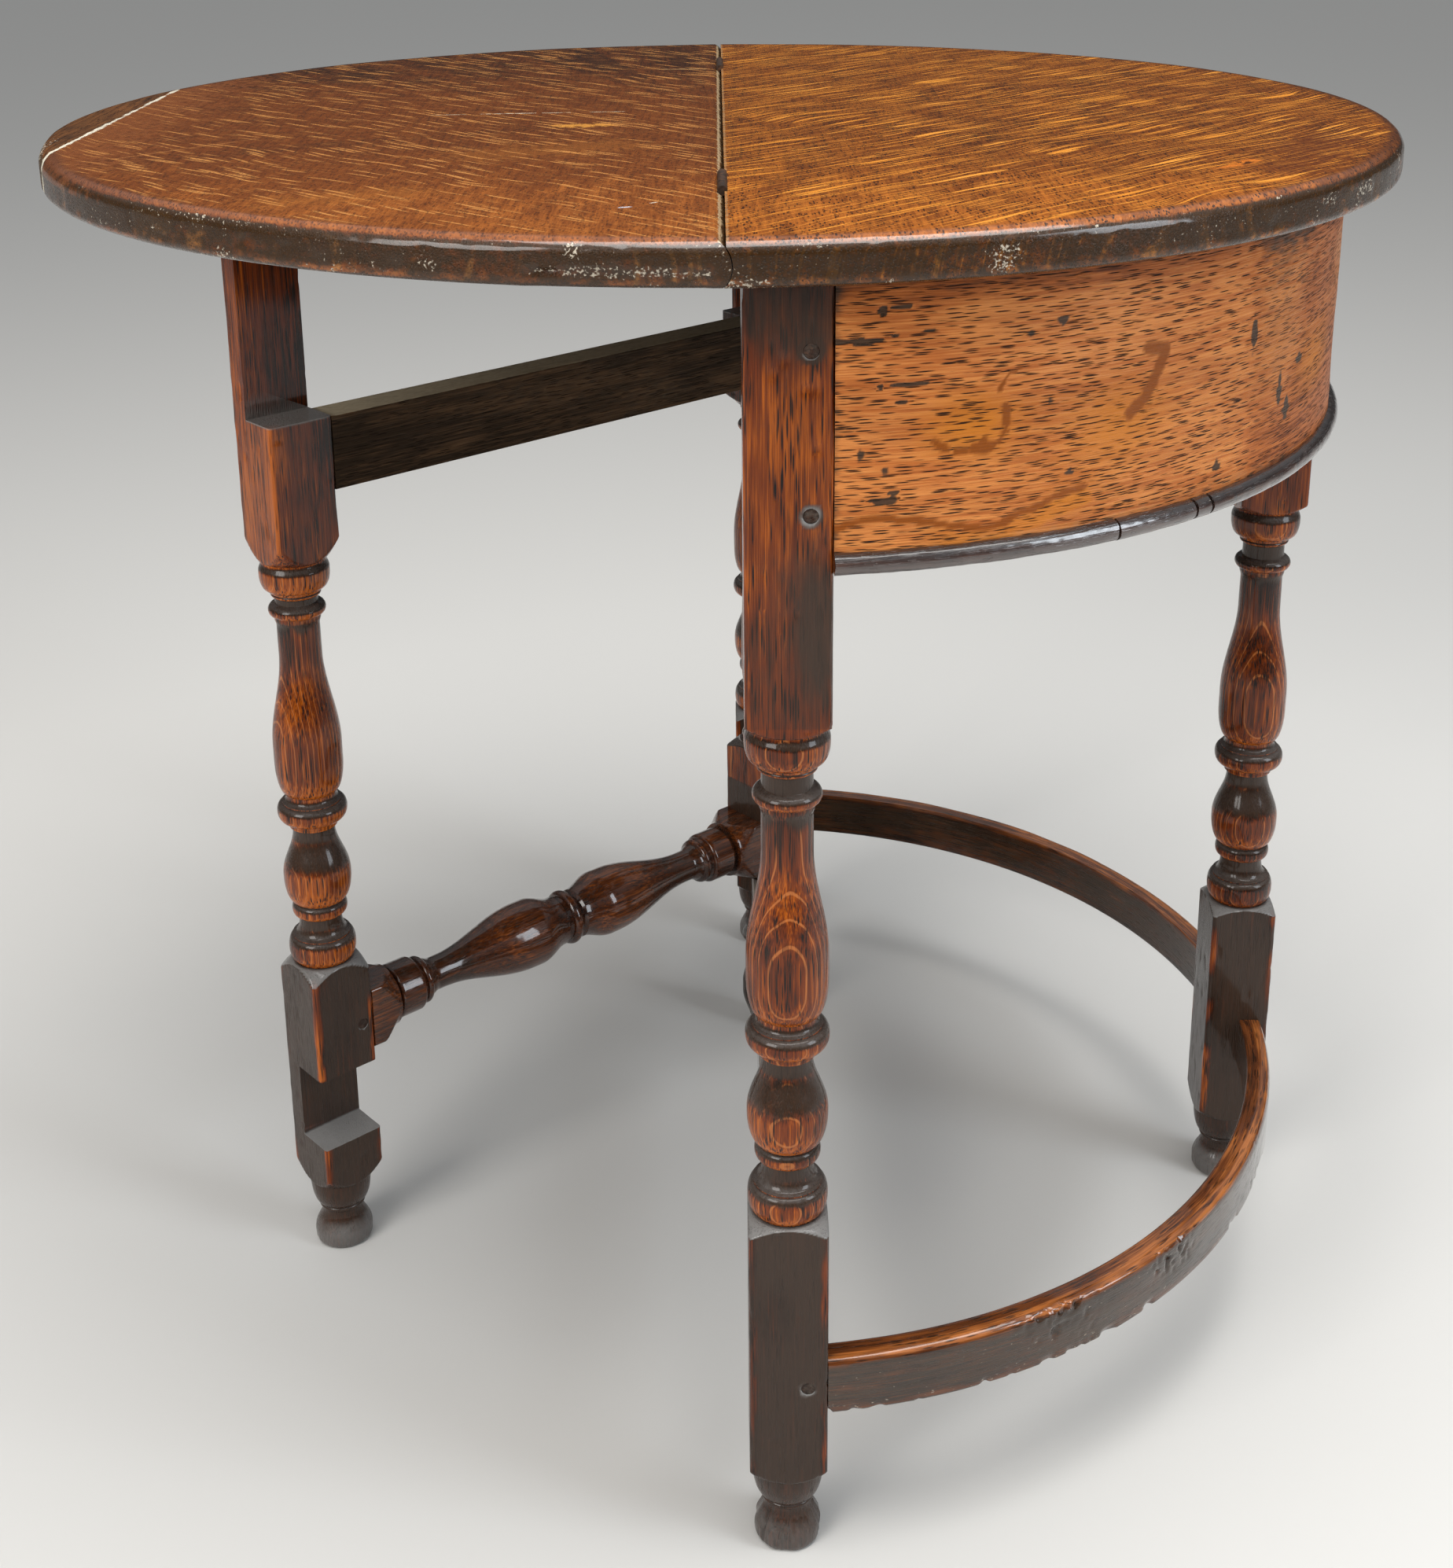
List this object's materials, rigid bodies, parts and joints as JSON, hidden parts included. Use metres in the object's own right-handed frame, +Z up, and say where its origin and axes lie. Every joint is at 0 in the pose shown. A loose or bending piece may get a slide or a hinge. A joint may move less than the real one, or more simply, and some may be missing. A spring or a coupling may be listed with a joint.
{
  "type": "fold-over table",
  "caption": "Half-round fold-over table on turned legs: a fixed leaf over a deep curved frieze, a flap that folds over onto it, and a swinging gate leg that carries the open flap",
  "frame": {"origin": "middle of the hinge line, at floor level, which is also the middle of the open round top", "axes": "+X from the hinge line to the fixed leaf and its curved frieze, +Y along the hinge line away from the front leg, +Z up"},
  "size_m": [0.76, 0.76, 0.7225],
  "materials": {
    "leaf_oak": "old waxed quarter-sawn oak",
    "flap_oak": "old waxed quarter-sawn oak",
    "strip_oak": "old waxed oak",
    "leg_oak": "turned and waxed dark oak",
    "frieze_oak": "waxed oak with open pores",
    "bead_oak": "dark polished oak moulding",
    "stretcher_oak": "worn dark oak",
    "turned_oak": "polished dark oak",
    "rail_oak": "bare sawn oak, darkened by age",
    "peg_oak": "riven oak pegs",
    "iron": "dark wrought iron"
  },
  "bodies": {
    "table": {"fixed_leaf": "leaf_oak", "front_leg": "leg_oak", "rear_leg": "leg_oak", "bow_leg": "leg_oak", "front_frieze": "frieze_oak", "rear_frieze": "frieze_oak", "back_rail": "rail_oak", "glue_blocks": "rail_oak", "bead_front_long": "bead_oak", "bead_front_short": "bead_oak", "bead_patch": "bead_oak", "bead_bow": "bead_oak", "bead_rear": "bead_oak", "front_stretcher": "stretcher_oak", "rear_stretcher": "stretcher_oak", "back_stretcher": "stretcher_oak", "frame_pegs": "peg_oak", "front_hinge_table_plate": "iron", "rear_hinge_table_plate": "iron", "front_hinge_pin": "iron", "rear_hinge_pin": "iron", "table_hinge_screws": "iron"},
    "flap": {"flap_board": "flap_oak", "flap_strip": "strip_oak", "front_hinge_flap_plate": "iron", "rear_hinge_flap_plate": "iron", "flap_hinge_screws": "iron"},
    "gate": {"gate_leg": "leg_oak", "gate_rail": "rail_oak", "gate_stretcher": "turned_oak", "gate_post": "leg_oak", "gate_post_foot": "leg_oak", "gate_pegs": "peg_oak"}
  },
  "joints": [
    {"name": "flap_fold", "type": "hinge", "parent": "table", "child": "flap", "pos_m": [0, 0, 0.72015], "axis": [0, 1, 0], "range_deg": [0, 180]},
    {"name": "gate_swing", "type": "hinge", "parent": "table", "child": "gate", "pos_m": [0.028, 0.187, 0.3], "axis": [0, 0, 1], "range_deg": [-41.5, 47.7]}
  ]
}
